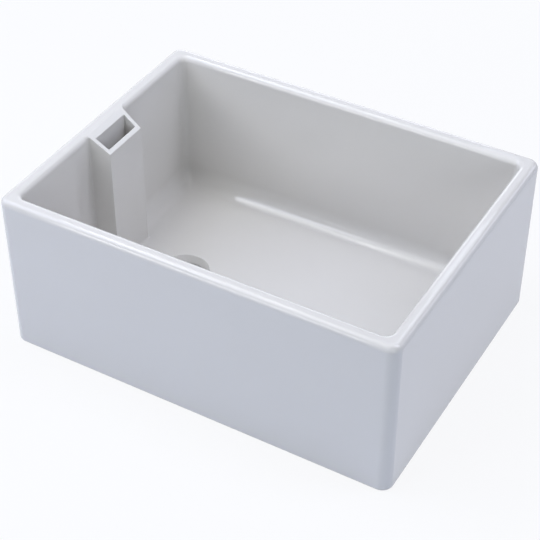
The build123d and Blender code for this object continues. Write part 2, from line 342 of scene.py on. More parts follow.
def chrome_plate(finishes):
    """Bright plate with faint smears and fine polishing lines."""
    shader = Shader(bpy.data.materials.new("chrome_plate"))
    place = shader.place()
    smear = shader.noise(place, scale=120.0, detail=4.0, roughness=0.6)
    lines = shader.noise(place, scale=2500.0)
    return shader.surface(
        Base_Color=shader.mottle(smear, finishes.chrome, 0.95, 1.04),
        Metallic=1.0,
        Roughness=0.06 + 0.1 * shader.ramp(smear, 0.35, 0.8),
        Normal=shader.bump(lines, distance=0.000002),
    )


def turned_brass(finishes):
    """Brass with the fine rings that a lathe leaves."""
    shader = Shader(bpy.data.materials.new("turned_brass"))
    place = shader.place()
    axis = (span("waste_body")[0], 0.0, 0.0)
    off_axis = shader.node("VectorMath", {"operation": "SUBTRACT"}, {0: place, 1: axis})
    rings = shader.node(
        "TexWave",
        {"wave_type": "RINGS", "rings_direction": "Z"},
        {"Vector": off_axis, "Scale": 420.0, "Distortion": 0.6, "Detail": 2.0},
        "Fac",
    )
    tarnish = shader.noise(place, scale=180.0, detail=5.0, roughness=0.6)
    return shader.surface(
        Base_Color=shader.mottle(shader.ramp(tarnish, 0.3, 0.75), finishes.brass, 1.0, 0.72),
        Metallic=1.0,
        Roughness=0.24 + 0.16 * tarnish,
        Normal=shader.bump(rings, distance=0.00001, strength=0.5),
    )


def moulded_rubber(name, rgb, roughness):
    """Rubber with a fine bloom on its skin."""
    shader = Shader(bpy.data.materials.new(name))
    place = shader.place()
    bloom = shader.noise(place, scale=260.0, detail=5.0, roughness=0.65)
    pores = shader.noise(place, scale=2600.0)
    return shader.surface(
        Base_Color=shader.mottle(bloom, rgb, 0.85, 1.2),
        Roughness=roughness + 0.15 * bloom,
        Normal=shader.bump(pores, distance=0.00003, strength=0.6),
    )


def dark_rubber(finishes):
    """The rubber of the washer under the sink and of the plug's seal."""
    return moulded_rubber("dark_rubber", finishes.dark_rubber, roughness=0.5)


def pale_rubber(finishes):
    """The rubber of the seal under the flange."""
    return moulded_rubber("pale_rubber", finishes.pale_rubber, roughness=0.45)


def pale_polythene(finishes):
    """Waxy plastic with faint flow marks."""
    shader = Shader(bpy.data.materials.new("pale_polythene"))
    place = shader.place()
    flow = shader.noise(place, scale=90.0, detail=3.0)
    grain = shader.noise(place, scale=700.0)
    return shader.surface(
        Base_Color=shader.mottle(flow, finishes.polythene, 0.95, 1.03),
        Roughness=0.32 + 0.12 * flow,
        Normal=shader.bump(grain, distance=0.00001),
    )


def smooth(t):
    """A smooth step from 0 to 1 as t goes from 0 to 1."""
    t = min(max(t, 0.0), 1.0)
    return t * t * (3 - 2 * t)


def quarter_turn(steps):
    """The angles of a quarter turn in even steps."""
    return [pi / 2 * k / steps for k in range(steps + 1)]


def bend(first, corner, last, steps):
    """Points of a round arc from first to last that touches both legs to the corner."""
    legs = (first - corner).angle(last - corner, pi)
    weight = sin(legs / 2)
    points = []
    for i in range(steps + 1):
        t = i / steps
        shares = ((1 - t) ** 2, 2 * weight * t * (1 - t), t**2)
        points.append((first * shares[0] + corner * shares[1] + last * shares[2]) / sum(shares))
    return points


def between(first, last, near_first, near_last):
    """Points on a straight run at given distances from its two ends."""
    along = (last - first).normalized()
    reach = (last - first).length
    distances = [d for d in near_first if d < reach / 2] + [reach - d for d in near_last if d < reach / 2]
    return [first + along * d for d in sorted(distances)]


def loop_edges(bm, loop, closed=True):
    """The edges that join a row of vertices."""
    ends = loop[1:] + loop[:1] if closed else loop[1:]
    return [bm.edges.get(pair) for pair in zip(loop, ends)]


def start_loop(bm, points):
    """A closed row of vertices at the given points."""
    loop = bmesh.ops.create_circle(bm, segments=len(points), radius=1.0)["verts"]
    set_row(loop, points)
    return loop


def set_row(row, points):
    """Put each vertex of a row in its place."""
    for vertex, point in zip(row, points):
        vertex.co = point


def vertices(geometry):
    """The vertices among an operator's results."""
    return [v for v in geometry if isinstance(v, bmesh.types.BMVert)]


def grow(bm, row, points, closed=True):
    """Extrude a row of vertices and put the new row in its place."""
    made = bmesh.ops.extrude_edge_only(bm, edges=loop_edges(bm, row, closed))["geom"]
    fresh = set(vertices(made))
    twins = [next(e.other_vert(v) for e in v.link_edges if e.other_vert(v) in fresh) for v in row]
    set_row(twins, points)
    return twins


def fill_flat(bm, edges, normal):
    """Fill a flat face with holes, at a larger scale because the filler drops fine detail."""
    scale = 1000.0
    bmesh.ops.scale(bm, vec=(scale, scale, scale), verts=bm.verts)
    bmesh.ops.triangle_fill(bm, edges=edges, use_beauty=True, normal=normal)
    bmesh.ops.scale(bm, vec=(1 / scale, 1 / scale, 1 / scale), verts=bm.verts)


def lift_faces(bm, faces, offset):
    """Extrude flat faces by an offset, and give the new vertices."""
    risen = vertices(bmesh.ops.extrude_face_region(bm, geom=faces, use_keep_orig=True)["geom"])
    bmesh.ops.translate(bm, verts=risen, vec=offset)
    return risen


def round_edges(bm, edges, offset, segments):
    """Round sharp edges with a bevel."""
    bmesh.ops.bevel(
        bm, geom=edges, offset=offset, segments=segments, profile=0.5, affect="EDGES", material=-1
    )


def spin_round(bm, geometry, axis_x, steps, **more):
    """Spin vertices and edges once round an upright axis."""
    bmesh.ops.spin(
        bm, geom=geometry, cent=(axis_x, 0, 0), axis=(0, 0, 1), angle=2 * pi, steps=steps, **more
    )


def turn(bm, profile, axis_x, steps=128, closed=False):
    """Spin a profile of radius and height round an upright axis."""
    row = [bm.verts.new((axis_x + r, 0.0, z)) for r, z in profile]
    edges = [bm.edges.new(pair) for pair in zip(row, row[1:])]
    if closed:
        edges.append(bm.edges.new((row[-1], row[0])))
    spin_round(bm, row + edges, axis_x, steps, use_merge=True)


def rounded(corners, steps=4):
    """A profile of radius, height and edge radius, with its corners rounded."""
    points = []
    for i, (r, z, edge) in enumerate(corners):
        here = Vector((r, z, 0.0))
        if not edge:
            points.append(here)
            continue
        before = Vector((*corners[i - 1][:2], 0.0)) - here
        after = Vector((*corners[(i + 1) % len(corners)][:2], 0.0)) - here
        reach = edge / tan(before.angle(after) / 2)
        first = here + before.normalized() * reach
        last = here + after.normalized() * reach
        points.extend(bend(first, here, last, steps))
    return [(p.x, p.y) for p in points]


def turned_piece(corners, axis_x, edge_steps=5, steps=128):
    """A closed turned piece with rounded edges."""
    bm = bmesh.new()
    turn(bm, rounded(corners, edge_steps), axis_x, steps, closed=True)
    return bm


def shared(finish):
    """A finish's material, which is made once."""
    return bpy.data.materials.get(finish.__name__) or finish(bpy.context.scene.sink_finishes)


def finish_piece(bm, name, finish, body, node):
    """Make a smooth piece that rides on its body and stands for its plain solid."""
    sharp = radians(35)
    bmesh.ops.remove_doubles(bm, verts=bm.verts, dist=tiny)
    bmesh.ops.recalc_face_normals(bm, faces=bm.faces)
    for face in bm.faces:
        face.smooth = True
    mesh = bpy.data.meshes.new(name)
    bm.to_mesh(mesh)
    bm.free()
    mesh.set_sharp_from_angle(angle=sharp)
    mesh.materials.append(shared(finish))
    piece = bpy.data.objects.new(name, mesh)
    bpy.context.scene.collection.objects.link(piece)
    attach(piece, body)
    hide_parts(node)


class BowlOutline:
    """The closed line round the bowl and its weir column, at any turn of the cove."""

    # Steps round each bend, distances of the points beside them, and which corner is which
    corner_steps = 12
    root_steps = 14
    column_steps = 6
    edge_steps = 10
    cove_steps = 16
    blend_steps = 5
    settle_steps = 6
    near = 0.0005
    near_lip = 0.0003
    blend_run = 0.004
    back_left, back_root, back_post, front_post, front_root = range(2, 7)

    def __init__(self, casting, weir):
        self.casting = casting
        self.weir = weir
        self.inner_x = casting.width / 2 - casting.wall
        self.inner_y = casting.depth / 2 - casting.wall
        self.face_x = weir.projection - self.inner_x
        self.half = weir.width / 2
        self.taper = tan(weir.draft)
        self.crease_x = -self.inner_x - weir.setback
        self.fall = weir.drop / (self.face_x - self.crease_x)
        self.cove_z = casting.floor + casting.cove

    def corners(self, turn_angle):
        """Centre, radius, first and last direction, steps and side of the air for each corner."""
        casting, weir = self.casting, self.weir
        c, s = cos(turn_angle), sin(turn_angle)
        gap = casting.cove - casting.inner_corner
        root_gap = casting.cove - weir.root
        x = self.inner_x - casting.cove + gap * c
        y = self.inner_y - casting.cove + gap * c
        z = self.cove_z - gap * s
        root_x = -(self.inner_x - casting.cove + root_gap * c)
        root_y = self.half_at(root_x) + weir.root / cos(weir.draft)
        root_z = self.cove_z - root_gap * s
        post_x = self.face_x - weir.corner
        post_y = self.half_at(post_x) - weir.corner / cos(weir.draft)
        right, back = Vector((c, 0, -s)), Vector((0, c, -s))
        left, front = Vector((-c, 0, -s)), Vector((0, -c, -s))
        out = Vector((1, 0, 0))
        back_side = Vector((sin(weir.draft), cos(weir.draft), 0))
        front_side = Vector((sin(weir.draft), -cos(weir.draft), 0))
        inner, root, post = casting.inner_corner, weir.root, weir.corner
        return [
            (Vector((x, -y, z)), inner, front, right, self.corner_steps, -1),
            (Vector((x, y, z)), inner, right, back, self.corner_steps, -1),
            (Vector((-x, y, z)), inner, back, left, self.corner_steps, -1),
            (Vector((root_x, root_y, root_z)), root, left, -back_side, self.root_steps, -1),
            (Vector((post_x, post_y, root_z)), post, back_side, out, self.column_steps, 1),
            (Vector((post_x, -post_y, root_z)), post, out, front_side, self.column_steps, 1),
            (Vector((root_x, -root_y, root_z)), root, -front_side, left, self.root_steps, -1),
            (Vector((-x, -y, z)), inner, left, front, self.corner_steps, -1),
        ]

    def half_at(self, x):
        """Half the column's width at x."""
        return self.half + (self.face_x - x) * self.taper

    def ring(self, turn_angle):
        """Points and air normals all round, with the first and last place of each corner."""
        corners = self.corners(turn_angle)
        blend = [self.blend_run * k / self.blend_steps for k in range(1, self.blend_steps + 1)]
        near_root = [self.near] + blend
        points, normals, spans = [], [], []
        for i, (centre, radius, first, last, steps, side) in enumerate(corners):
            start = len(points)
            for k in range(steps + 1):
                straight = first.angle(last, 0.0) < tiny
                out = first if straight else first.slerp(last, k / steps)
                points.append(centre + out * radius)
                normals.append(out * side)
            spans.append((start, len(points) - 1))
            following = corners[(i + 1) % len(corners)]
            end = following[0] + following[2] * following[1]
            near_first = near_root if i == self.front_root else [self.near]
            near_last = near_root if i == self.back_left else [self.near]
            run = between(points[-1], end, near_first, near_last)
            points.extend(run)
            normals.extend([normals[-1]] * len(run))
        return points, normals, spans

    def shares(self):
        """How far each place has changed from the rim's edge, 0, to the column's lip, 1."""
        points, _, spans = self.ring(0.0)
        first = spans[self.back_root][0]
        reach = self.blend_run + self.weir.root * pi / 2
        shares = [0.0] * len(points)
        travelled = 0.0
        for i in range(spans[self.back_left][1] + 1, spans[self.back_post][0] + 1):
            if i <= first:
                travelled = self.blend_run - (points[first] - points[i]).length
            else:
                travelled += (points[i] - points[i - 1]).length
            shares[i] = smooth(travelled / reach)
            shares[self.mirror(i, spans)] = shares[i]
        for i in range(spans[self.back_post][0], spans[self.front_post][1] + 1):
            shares[i] = 1.0
        return shares

    def mirror(self, i, spans):
        """The place across the column from place i."""
        return spans[self.back_root][1] + spans[self.front_root][0] - i

    def top(self, x, share):
        """Height and slope of the casting's top at x."""
        ease = self.weir.crease
        past = x - self.crease_x
        if share <= 0.0 or past <= -ease:
            return self.casting.height, 0.0
        if past >= ease:
            return self.casting.height - self.fall * past, -self.fall
        part = past + ease
        return self.casting.height - self.fall * part**2 / (4 * ease), -self.fall * part / (2 * ease)

    def edge(self, point, normal, radius, share, steps):
        """A rounded edge from the top, with a point beside it, down to the upright face."""
        rise = 0.0
        for _ in range(self.settle_steps):
            tilt = sqrt(1 + rise**2)
            reach = radius * tan(acos(-rise / tilt) / 2) / tilt
            height, slope = self.top(point.x - normal.x * reach, share)
            rise = slope * normal.x
        first = Vector((point.x - normal.x * reach, point.y - normal.y * reach, height))
        corner = Vector((point.x, point.y, height + rise * reach))
        last = corner - Vector((0, 0, (corner - first).length))
        near = self.near + (self.near_lip - self.near) * share
        side = Vector((first.x - normal.x * near, first.y - normal.y * near, 0.0))
        side.z = self.top(side.x, share)[0]
        return [side] + bend(first, corner, last, steps)


def rounded_outline(corners, radius, steps, near):
    """Points and outward normals of an outline with rounded corners, and points beside them."""
    arcs = []
    for before, here, after in zip(corners[-1:] + corners, corners, corners[1:] + corners[:1]):
        ahead, away = (here - before).normalized(), (after - here).normalized()
        first, last = Vector((ahead.y, -ahead.x, 0.0)), Vector((away.y, -away.x, 0.0))
        centre = here - ahead * radius * tan(ahead.angle(away) / 2) - first * radius
        outs = [first.slerp(last, k / steps) for k in range(steps + 1)]
        arcs.append([(centre + out * radius, out) for out in outs])
    pairs = []
    for arc, following in zip(arcs, arcs[1:] + arcs[:1]):
        run = between(arc[-1][0], following[0][0], [near], [near])
        pairs += arc + [(point, arc[-1][1]) for point in run]
    return [p for p, _ in pairs], [n for _, n in pairs]


def four_corners(back_x, front_x, back_half, front_half):
    """The corners of a four-sided outline that lies evenly about the X axis."""
    return [
        Vector((front_x, -front_half, 0.0)),
        Vector((front_x, front_half, 0.0)),
        Vector((back_x, back_half, 0.0)),
        Vector((back_x, -back_half, 0.0)),
    ]


def edge_rows(bm, edges, near):
    """The first and the last row of a rounded edge, which runs from the top to just below it."""
    top_row = start_loop(bm, [e[0] for e in edges])
    row = top_row
    for k in range(1, len(edges[0])):
        row = grow(bm, row, [e[k] for e in edges])
    return top_row, grow(bm, row, [e[-1] - Vector((0, 0, near)) for e in edges])


def bowl_shell(bm, outline):
    """The inside of the bowl and the column, and the rows that the top joins on to."""
    casting, weir = outline.casting, outline.weir
    points, normals, spans = outline.ring(0.0)
    shares = outline.shares()
    edges = []
    for point, normal, share in zip(points, normals, shares):
        radius = casting.rim_inner + (weir.lip - casting.rim_inner) * share
        edges.append(outline.edge(point, normal, radius, share, outline.edge_steps))
    top_row, row = edge_rows(bm, edges, outline.near)
    row = grow(bm, row, [p + Vector((0, 0, outline.near)) for p in points])
    for angle in quarter_turn(outline.cove_steps):
        row = grow(bm, row, outline.ring(angle)[0])
    foot_points, foot_normals, _ = outline.ring(pi / 2)
    chain = list(range(spans[outline.back_root][1], spans[outline.front_root][0] + 1))
    foot = [row[i] for i in chain]
    for angle in quarter_turn(outline.root_steps)[1:]:
        out = weir.root * (1 - cos(angle))
        down = Vector((0, 0, weir.root * sin(angle)))
        places = [foot_points[i] + foot_normals[i] * out - down for i in chain]
        foot = grow(bm, foot, places, closed=False)
    return top_row, spans


def duct_shell(bm, outline):
    """The overflow duct inside the column, and the row that the slope joins on to."""
    weir = outline.weir
    corner_steps, lip_steps = 8, 6
    back_x = weir.duct_back - outline.inner_x
    front_x = outline.face_x - weir.duct_front
    back_half = outline.half_at(back_x) - weir.duct_side
    front_half = outline.half_at(front_x) - weir.duct_side
    corners = four_corners(back_x, front_x, back_half, front_half)
    points, normals = rounded_outline(corners, weir.duct_corner, corner_steps, outline.near_lip)
    edges = [outline.edge(p, -n, weir.duct_lip, 1.0, lip_steps) for p, n in zip(points, normals)]
    top_row, row = edge_rows(bm, edges, outline.near)
    foot = Vector((0, 0, weir.duct_foot))
    row = grow(bm, row, [p + foot for p in points])
    bmesh.ops.edgeloop_fill(bm, edges=loop_edges(bm, row))
    return top_row


def outer_shell(bm, casting):
    """The outside faces, and the row that the top joins on to."""
    corner_steps, rim_steps, base_steps = 14, 10, 6
    near = BowlOutline.near
    half_x, half_y = casting.width / 2, casting.depth / 2
    corners = four_corners(-half_x, half_x, half_y, half_y)
    points, normals = rounded_outline(corners, casting.outer_corner, corner_steps, near)

    def level(inset, z):
        return [p - n * inset + Vector((0, 0, z)) for p, n in zip(points, normals)]

    top_row = start_loop(bm, level(casting.rim_outer + near, casting.height))
    row = top_row
    for angle in quarter_turn(rim_steps):
        inset = casting.rim_outer * (1 - sin(angle))
        row = grow(bm, row, level(inset, casting.height - casting.rim_outer * (1 - cos(angle))))
    row = grow(bm, row, level(0.0, casting.height - casting.rim_outer - near))
    row = grow(bm, row, level(0.0, casting.base_edge + near))
    for angle in quarter_turn(base_steps):
        inset = casting.base_edge * (1 - cos(angle))
        row = grow(bm, row, level(inset, casting.base_edge * (1 - sin(angle))))
    grow(bm, row, level(casting.base_edge + near, 0.0))
    return top_row


def open_edges(bm, height):
    """The open edges that lie at one height."""
    return [e for e in bm.edges if e.is_boundary and all(abs(v.co.z - height) < tiny for v in e.verts)]


def fireclay_body(casting, weir):
    """The whole casting: outside, rim, bowl, weir column, duct and outlet."""
    bm = bmesh.new()
    outline = BowlOutline(casting, weir)
    near = outline.near
    bowl_row, spans = bowl_shell(bm, outline)
    duct_row = duct_shell(bm, outline)
    rim_row = outer_shell(bm, casting)

    # The crease between the rim and the slope, then the two flats on either side of it
    places = range(spans[outline.back_left][1], spans[outline.back_root][1] + 1)
    first = max(i for i in places if bowl_row[i].co.x <= outline.crease_x - weir.crease)
    last = min(i for i in places if bowl_row[i].co.x >= outline.crease_x + weir.crease)
    chain = list(range(first, last + 1))
    back_chain = [bowl_row[i] for i in chain]
    front_chain = [bowl_row[outline.mirror(i, spans)] for i in chain]
    for corners in zip(back_chain, back_chain[1:], front_chain[1:], front_chain):
        bmesh.ops.contextual_create(bm, geom=list(corners))
    inner_row = bowl_row[outline.mirror(first, spans) :] + bowl_row[: first + 1]
    slope_row = bowl_row[last : outline.mirror(last, spans) + 1]
    for first_row, second_row in ((inner_row, rim_row), (slope_row, duct_row)):
        fill_flat(bm, loop_edges(bm, first_row) + loop_edges(bm, second_row), (0, 0, 1))

    # Outlet, from the floor through the flared recess and the bore to the ground pad
    brink_land, seat_edge, bore_edge, pad_edge = 0.001, 0.001, 0.0005, 0.0003
    seat = casting.floor - casting.recess_depth
    pad = casting.pad_depth
    wall = casting.recess_radius
    brink = wall + casting.recess_flare + brink_land
    profile = rounded(
        [
            (brink, casting.floor, 0.0),
            (wall + casting.recess_flare, casting.floor, casting.recess_edge),
            (wall, casting.floor - casting.recess_slope, casting.recess_edge),
            (wall, seat, seat_edge),
            (casting.bore_radius, seat, bore_edge),
            (casting.bore_radius, pad, pad_edge),
            (casting.pad_radius, pad, pad_edge),
            (casting.pad_radius, 0.0, 0.0),
            (casting.pad_radius + near, 0.0, 0.0),
        ]
    )
    turn(bm, profile, casting.outlet_x)
    bmesh.ops.remove_doubles(bm, verts=bm.verts, dist=tiny)

    # Floor and underside
    axis = Vector((casting.outlet_x, 0.0, casting.floor))
    shore, mouth = [], []
    for edge in open_edges(bm, casting.floor):
        at_mouth = all((v.co - axis).length < brink + near / 2 for v in edge.verts)
        nearest = mouth if at_mouth else shore
        nearest.append(edge)
    ground = bmesh.ops.edgeloop_fill(bm, edges=shore)["faces"]
    margin = 0.6 * near
    bmesh.ops.inset_region(bm, faces=ground, thickness=margin, use_even_offset=True, use_boundary=True)
    inner = list(ground[0].edges)
    bmesh.ops.delete(bm, geom=ground, context="FACES_ONLY")
    fill_flat(bm, inner + mouth, (0, 0, 1))
    fill_flat(bm, open_edges(bm, 0.0), (0, 0, -1))
    return bm


def span(node):
    """Axis, outer radius, lowest and highest height of a node that stands round the outlet."""
    low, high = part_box(node)
    return (low.x + high.x) / 2, (high.y - low.y) / 2, low.z, high.z


def flat_ring(node, bore, edge):
    """A washer or seal in a node's place, with rounded edges."""
    axis_x, outer, low, high = span(node)
    corners = [(bore, low, edge), (outer, low, edge), (outer, high, edge), (bore, high, edge)]
    return turned_piece(corners, axis_x, edge_steps=4, steps=96)


def around(axis_x, radius, heights, angles):
    """Points round an upright axis, at one height or at a height for each angle."""
    if isinstance(heights, float):
        heights = [heights] * len(angles)
    return [Vector((axis_x + radius * cos(a), radius * sin(a), z)) for a, z in zip(angles, heights)]


def hexagon_nut(node, flats, bore):
    """A nut in a node's place, with its ends turned down to a cone."""
    axis_x, _, low, high = span(node)
    half = flats / 2
    chamfer = radians(30)
    side = [radians(d) for d in (-29.3, -24, -16, -8, 0, 8, 16, 24, 29.3)]
    angles = [radians(30 + 60 * k) + d for k in range(6) for d in side]
    reaches = [half / cos(d) for d in side * 6]
    land = 0.97 * half
    edge = 0.06 * (half - bore)
    bm = bmesh.new()
    row = start_loop(bm, around(axis_x, bore, low + edge, angles))
    row = grow(bm, row, around(axis_x, bore + edge, low, angles))
    row = grow(bm, row, around(axis_x, land, low, angles))
    for end, way in ((low, 1), (high, -1)):
        points = []
        for a, reach in zip(angles, reaches):
            z = end + way * (reach - land) * tan(chamfer)
            points.append(Vector((axis_x + reach * cos(a), reach * sin(a), z)))
        row = grow(bm, row, points)
    inside = ((land, high), (bore + edge, high), (bore, high - edge), (bore, low + edge))
    for radius, z in inside:
        row = grow(bm, row, around(axis_x, radius, z, angles))
    return bm


def thread_rise(turns):
    """How far a rounded thread stands above its root, from 0 to 1."""
    root_share, flank_share = 0.18, 0.64
    part = turns % 1.0
    return smooth((2 * min(part, 1.0 - part) - root_share) / flank_share)


def threaded_tail(bm, waste, axis_x, low):
    """The threaded outside of the tail, cut by a groove and bevelled at both ends."""
    steps, levels = 96, 16
    spare_turns = 1.5
    crest_gap = 0.00005
    high = waste.thread_end
    pitch = waste.thread_pitch
    core = waste.tail_radius - crest_gap - waste.thread_depth
    start = low - spare_turns * pitch
    count = ceil((high - low) / pitch + 2 * spare_turns) * levels
    column = [bm.verts.new((axis_x + core, 0.0, start + pitch * k / levels)) for k in range(count + 1)]
    edges = [bm.edges.new(pair) for pair in zip(column, column[1:])]
    spin_round(bm, column + edges, axis_x, steps, dvec=(0, 0, pitch / steps))
    bmesh.ops.remove_doubles(bm, verts=bm.verts, dist=tiny)
    for vertex in bm.verts:
        x, y, z = vertex.co.x - axis_x, vertex.co.y, vertex.co.z
        turns = (z - start) / pitch - atan2(y, x) / (2 * pi)
        room = min(z - low, high - z)
        if z > waste.groove_low:
            room = min(room, max(z - waste.groove_high, 0.0))
        else:
            room = min(room, waste.groove_low - z)
        rise = min(waste.thread_depth * thread_rise(turns), max(room, 0.0))
        share = (core + rise) / sqrt(x * x + y * y)
        vertex.co.x = axis_x + x * share
        vertex.co.y = y * share
    for level, below, above in ((low, True, False), (high, False, True)):
        bmesh.ops.bisect_plane(
            bm,
            geom=bm.verts[:] + bm.edges[:] + bm.faces[:],
            dist=tiny / 10,
            plane_co=(0, 0, level),
            plane_no=(0, 0, 1),
            clear_inner=below,
            clear_outer=above,
        )
    return core


def slot_columns(waste):
    """Angles round the neck and half the slot's height at each, with the slots' first and last place."""
    nose_steps, run_steps, solid_steps = 5, 8, 10
    nose = waste.slot_height / 2
    half = waste.slot_width / 2
    sides = []
    for angle in quarter_turn(nose_steps):
        sides.append((half - nose + nose * sin(angle), nose * cos(angle)))
    run = [((half - nose) * (2 * k / run_steps - 1), nose) for k in range(1, run_steps)]
    shape = [(-x, h) for x, h in reversed(sides)] + run + sides
    opening = 2 * asin(half / waste.tail_radius)
    angles, rises, slots = [], [], []
    for quarter in range(4):
        middle = quarter * pi / 2
        slots.append((len(angles), len(angles) + len(shape) - 1))
        for x, rise in shape:
            angles.append(middle + opening / 2 * x / half)
            rises.append(max(rise, 0.0))
        solid = pi / 2 - opening
        for k in range(1, solid_steps):
            angles.append(middle + opening / 2 + solid * k / solid_steps)
            rises.append(0.0)
    return angles, rises, slots


def waste_neck(bm, waste, axis_x, low, high, core):
    """The flange, the slotted neck and the bore of the waste."""
    angles, rises, slots = slot_columns(waste)
    outer, bore = waste.tail_radius, waste.bore_radius
    upper = [waste.slot_middle + rise for rise in rises]
    lower = [waste.slot_middle - rise for rise in rises]
    foot_step, bore_edge = 0.0003, 0.0008
    foot_radius = core + foot_step
    row = start_loop(bm, around(axis_x, foot_radius, waste.thread_end, angles))
    row = grow(bm, row, around(axis_x, outer, waste.thread_end + outer - foot_radius, angles))
    lower_outer = grow(bm, row, around(axis_x, outer, lower, angles))
    upper_outer = start_loop(bm, around(axis_x, outer, upper, angles))
    under = high - waste.flange_rim
    profile = rounded(
        [
            (outer, upper[0], 0.0),
            (outer, under, 0.0006),
            (waste.flange_radius, under, 0.0003),
            (waste.flange_radius, high, 0.0007),
            (waste.flange_radius - waste.dish_land, high, 0.0012),
            (waste.mouth_radius, high - waste.dish_fall, 0.0006),
            (bore, high - waste.dish_fall - waste.mouth_radius + bore, 0.0005),
            (bore, upper[0], 0.0),
        ],
        steps=6,
    )
    row = upper_outer
    for radius, z in profile[1:-1]:
        row = grow(bm, row, around(axis_x, radius, z, angles))
    grow(bm, row, around(axis_x, bore, upper, angles))
    row = start_loop(bm, around(axis_x, bore, lower, angles))
    row = grow(bm, row, around(axis_x, bore, low + bore_edge, angles))
    grow(bm, row, around(axis_x, bore + bore_edge, low, angles))
    for first, last in slots:
        for edge, heights in ((lower_outer, lower), (upper_outer, upper)):
            inside = around(axis_x, bore, heights[first : last + 1], angles[first : last + 1])
            grow(bm, edge[first : last + 1], inside, closed=False)


def cross_bars(bm, waste, axis_x):
    """Two bars across the bore, with a hub where they meet."""
    fillet, overlap, edge = 0.002, 0.0003, 0.0004
    fillet_steps, hub_steps = 5, 4
    half = waste.bar_width / 2
    reach = waste.bore_radius + overlap
    offset = half + fillet
    along = sqrt((waste.hub_radius + fillet) ** 2 - offset**2)
    centre = Vector((along, offset, 0.0))
    meet = centre * (waste.hub_radius / (waste.hub_radius + fillet))
    arm = [Vector((reach, half, 0.0))]
    first, last = Vector((0.0, -1.0, 0.0)), (meet - centre).normalized()
    arm += [centre + first.slerp(last, k / fillet_steps) * fillet for k in range(fillet_steps + 1)]
    mirrored = [Vector((p.y, p.x, 0.0)) for p in reversed(arm)]
    swing = pi / 2 - 2 * atan2(meet.y, meet.x)
    arm += [Matrix.Rotation(swing * k / hub_steps, 3, "Z") @ meet for k in range(1, hub_steps)]
    points = []
    for quarter in range(4):
        spin = Matrix.Rotation(pi / 2 * quarter, 3, "Z")
        points += [spin @ p for p in arm + mirrored]
    shift = Vector((axis_x, 0.0, waste.bar_low))
    loop = start_loop(bm, [p + shift for p in points])
    face = bmesh.ops.contextual_create(bm, geom=loop + loop_edges(bm, loop))["faces"]
    own = set(loop + lift_faces(bm, face, (0, 0, waste.bar_high - waste.bar_low)))
    level = [e for e in bm.edges if abs(e.verts[0].co.z - e.verts[1].co.z) < tiny]
    rims = [e for e in level if own.issuperset(e.verts)]
    round_edges(bm, rims, edge, segments=2)


def slotted_waste(waste):
    """The waste: dished flange, slotted neck, threaded tail and cross bars."""
    axis_x, _, low, high = span("waste_body")
    bm = bmesh.new()
    core = threaded_tail(bm, waste, axis_x, low)
    waste_neck(bm, waste, axis_x, low, high, core)
    bmesh.ops.remove_doubles(bm, verts=bm.verts, dist=tiny)
    for height in (low, waste.thread_end):
        fill_flat(bm, open_edges(bm, height), (0, 0, -1))
    cross_bars(bm, waste, axis_x)
    return bm


def plug_disc(plug):
    """The plug's disc, with a groove for its seal and a shallow dish in its top."""
    axis_x, _, low, high = span("plug_body")
    dish = high - plug.dish_depth
    land, slope = 0.001, 0.0008
    corners = [
        (plug.post_bore, low, 0.0003),
        (plug.foot_radius, low, 0.0006),
        (plug.foot_radius, plug.groove_low, 0.0002),
        (plug.groove_radius, plug.groove_low, 0.0),
        (plug.groove_radius, plug.groove_high, 0.0),
        (plug.lip_radius, plug.groove_high, 0.0005),
        (plug.lip_radius, high, 0.0007),
        (plug.dish_radius, high, 0.0003),
        (plug.dish_radius - slope, dish, 0.0004),
        (plug.collar_radius + land + slope, dish, 0.0004),
        (plug.collar_radius + land, high, 0.0003),
        (plug.post_bore, high, 0.0002),
    ]
    return turned_piece(corners, axis_x)


def plug_gasket(plug):
    """The tapered rubber ring in the plug's groove."""
    axis_x, outer, low, high = span("plug_seal")
    corners = [
        (plug.groove_radius, low, 0.0),
        (outer - (high - low), low, 0.0004),
        (outer, high, 0.0003),
        (plug.groove_radius, high, 0.0),
    ]
    return turned_piece(corners, axis_x)


def plug_post(plug):
    """The post with its collar, and the eye that the ring hangs in."""
    axis_x, _, low, _ = span("plug_eye")
    plug_top = span("plug_body")[3]
    sunk, edge, corner = 0.0004, 0.0005, radians(60)
    crown_steps, hole_steps = 24, 40
    half, middle = plug.eye_width / 2, plug.eye_height
    foot = plug.collar_top - sunk
    front = -plug.eye_thickness / 2

    def circle(radius, angles):
        return [Vector((axis_x + radius * cos(a), front, middle + radius * sin(a))) for a in angles]

    bm = bmesh.new()
    crown = circle(half, [pi * k / crown_steps for k in range(crown_steps + 1)])
    outline = start_loop(bm, [Vector((axis_x + x, front, foot)) for x in (-half, half)] + crown)
    hole = start_loop(bm, circle(plug.eye_hole, [2 * pi * k / hole_steps for k in range(hole_steps)]))
    fill_flat(bm, loop_edges(bm, outline) + loop_edges(bm, hole), (0, -1, 0))
    lift_faces(bm, bm.faces[:], (0, plug.eye_thickness, 0))
    bmesh.ops.recalc_face_normals(bm, faces=bm.faces)
    rims = [e for e in bm.edges if e.calc_face_angle(0.0) > corner]
    round_edges(bm, rims, edge, segments=4)
    shank, collar = plug.shank_radius, plug.collar_radius
    profile = rounded(
        [
            (0.0, low, 0.0),
            (shank, low, 0.0005),
            (shank, plug_top, 0.0),
            (collar, plug_top, 0.0002),
            (collar, plug.collar_top, 0.0005),
            (0.0, plug.collar_top, 0.0),
        ]
    )
    turn(bm, profile, axis_x, steps=72)
    return bm


